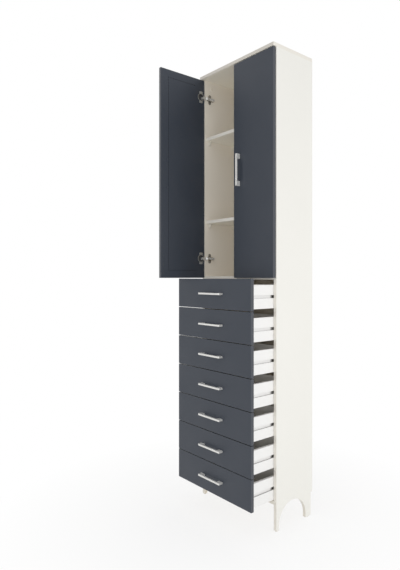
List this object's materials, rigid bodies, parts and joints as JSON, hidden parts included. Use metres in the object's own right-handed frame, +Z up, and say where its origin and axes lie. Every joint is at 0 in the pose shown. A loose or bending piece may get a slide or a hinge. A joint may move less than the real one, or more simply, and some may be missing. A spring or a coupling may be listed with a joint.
{
  "type": "tall cabinet with doors and drawers",
  "caption": "Tall shallow cabinet: dark doors with shelves behind them above a stack of dark-fronted drawers, white carcass on arched feet.",
  "frame": {"origin": "on the floor, in the middle of the rectangle that the cabinet covers with the left door open and the drawers out as stored", "axes": "+Z up, the fronts face -Y, +X to the right seen from the front"},
  "size_m": [0.5222, 0.485, 2.045],
  "materials": {
    "carcass_white": "warm white melamine",
    "slate_board": "dark grey melamine",
    "drawer_white": "white foil",
    "hardboard_white": "painted hardboard",
    "pale_plastic": "moulded",
    "beech": "planed",
    "zinc_steel": "zinc plated",
    "hinge_steel": "nickel plated",
    "satin_nickel": "satin nickel"
  },
  "bodies": {
    "carcass": {"left_side_panel": "carcass_white", "right_side_panel": "carcass_white", "top_panel": "carcass_white", "middle_panel": "carcass_white", "bottom_panel": "carcass_white", "upper_back_panel": "hardboard_white", "lower_back_panel": "hardboard_white", "upper_shelf": "carcass_white", "lower_shelf": "carcass_white", "shelf_supports": "pale_plastic", "runner_battens": "beech", "carcass_screws": "zinc_steel", "joint_dowels": "beech", "cam_fittings": "zinc_steel", "hinge_plates": "hinge_steel", "hinge_arms": "hinge_steel", "floor_glides": "pale_plastic"},
    "left_door": {"left_door_panel": "slate_board", "left_door_handle": "satin_nickel", "left_hinge_cups": "hinge_steel", "left_door_screws": "zinc_steel"},
    "right_door": {"right_door_panel": "slate_board", "right_door_handle": "satin_nickel", "right_hinge_cups": "hinge_steel", "right_door_screws": "zinc_steel"},
    "drawer_1": {"drawer_1_front": "slate_board", "drawer_1_handle": "satin_nickel", "drawer_1_sides": "drawer_white", "drawer_1_back": "drawer_white", "drawer_1_bottom": "hardboard_white"},
    "drawer_2": {"drawer_2_front": "slate_board", "drawer_2_handle": "satin_nickel", "drawer_2_sides": "drawer_white", "drawer_2_back": "drawer_white", "drawer_2_bottom": "hardboard_white"},
    "drawer_3": {"drawer_3_front": "slate_board", "drawer_3_handle": "satin_nickel", "drawer_3_sides": "drawer_white", "drawer_3_back": "drawer_white", "drawer_3_bottom": "hardboard_white"},
    "drawer_4": {"drawer_4_front": "slate_board", "drawer_4_handle": "satin_nickel", "drawer_4_sides": "drawer_white", "drawer_4_back": "drawer_white", "drawer_4_bottom": "hardboard_white"},
    "drawer_5": {"drawer_5_front": "slate_board", "drawer_5_handle": "satin_nickel", "drawer_5_sides": "drawer_white", "drawer_5_back": "drawer_white", "drawer_5_bottom": "hardboard_white"},
    "drawer_6": {"drawer_6_front": "slate_board", "drawer_6_handle": "satin_nickel", "drawer_6_sides": "drawer_white", "drawer_6_back": "drawer_white", "drawer_6_bottom": "hardboard_white"},
    "drawer_7": {"drawer_7_front": "slate_board", "drawer_7_handle": "satin_nickel", "drawer_7_sides": "drawer_white", "drawer_7_back": "drawer_white", "drawer_7_bottom": "hardboard_white"}
  },
  "joints": [
    {"name": "left_door_hinge", "type": "hinge", "parent": "carcass", "child": "left_door", "pos_m": [-0.23036, -0.00234, 1.544], "axis": [0, 0, -1], "range_deg": [-91, 4]},
    {"name": "right_door_hinge", "type": "hinge", "parent": "carcass", "child": "right_door", "pos_m": [0.25264, -0.00234, 1.544], "axis": [0, 0, 1], "range_deg": [0, 95]},
    {"name": "drawer_1_slide", "type": "slide", "parent": "carcass", "child": "drawer_1", "axis": [0, -1, 0], "range_m": [-0.126, 0.034]},
    {"name": "drawer_2_slide", "type": "slide", "parent": "carcass", "child": "drawer_2", "axis": [0, -1, 0], "range_m": [-0.126, 0.034]},
    {"name": "drawer_3_slide", "type": "slide", "parent": "carcass", "child": "drawer_3", "axis": [0, -1, 0], "range_m": [-0.126, 0.034]},
    {"name": "drawer_4_slide", "type": "slide", "parent": "carcass", "child": "drawer_4", "axis": [0, -1, 0], "range_m": [-0.126, 0.034]},
    {"name": "drawer_5_slide", "type": "slide", "parent": "carcass", "child": "drawer_5", "axis": [0, -1, 0], "range_m": [-0.126, 0.034]},
    {"name": "drawer_6_slide", "type": "slide", "parent": "carcass", "child": "drawer_6", "axis": [0, -1, 0], "range_m": [-0.126, 0.034]},
    {"name": "drawer_7_slide", "type": "slide", "parent": "carcass", "child": "drawer_7", "axis": [0, -1, 0], "range_m": [-0.126, 0.034]}
  ]
}
